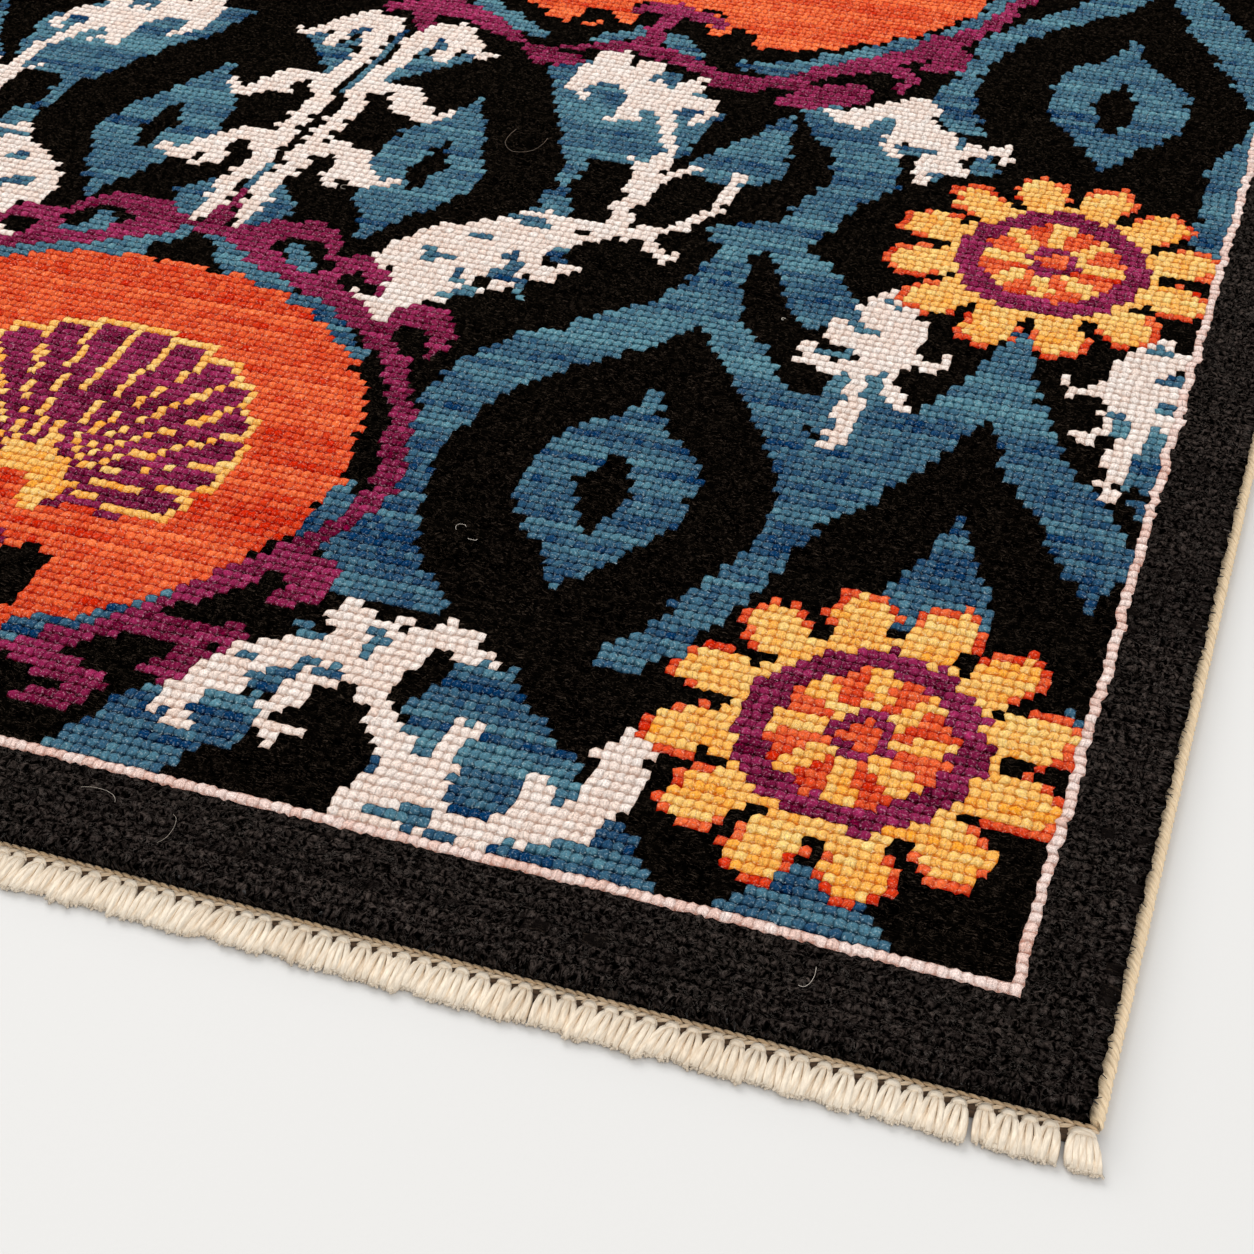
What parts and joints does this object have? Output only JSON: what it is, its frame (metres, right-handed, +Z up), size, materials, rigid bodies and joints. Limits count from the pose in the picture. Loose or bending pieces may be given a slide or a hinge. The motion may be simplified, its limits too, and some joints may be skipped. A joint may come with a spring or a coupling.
{
  "type": "hand-knotted rug",
  "caption": "Small flat hand-knotted wool rug with floral field, dark border, overcast side cords and a short knotted cotton fringe at each end.",
  "frame": {"origin": "centre of the rug's bounding box in plan, at the floor", "axes": "+X across the rug along the knot rows, +Y along its length away from the fringe seen in the picture, +Z up out of the pile"},
  "size_m": [0.6108, 0.8472, 0.0065],
  "materials": {
    "wool_pile": "clipped knotted wool pile, matt, many colours",
    "overcast_yarn": "wrapped tan-cream yarn, matt",
    "cotton_fringe": "undyed plied cotton, matt"
  },
  "bodies": {
    "root": {"knotted_cloth": "wool_pile", "side_cord_left": "overcast_yarn", "side_cord_right": "overcast_yarn", "fringe_front": "cotton_fringe", "fringe_back": "cotton_fringe"}
  },
  "joints": []
}
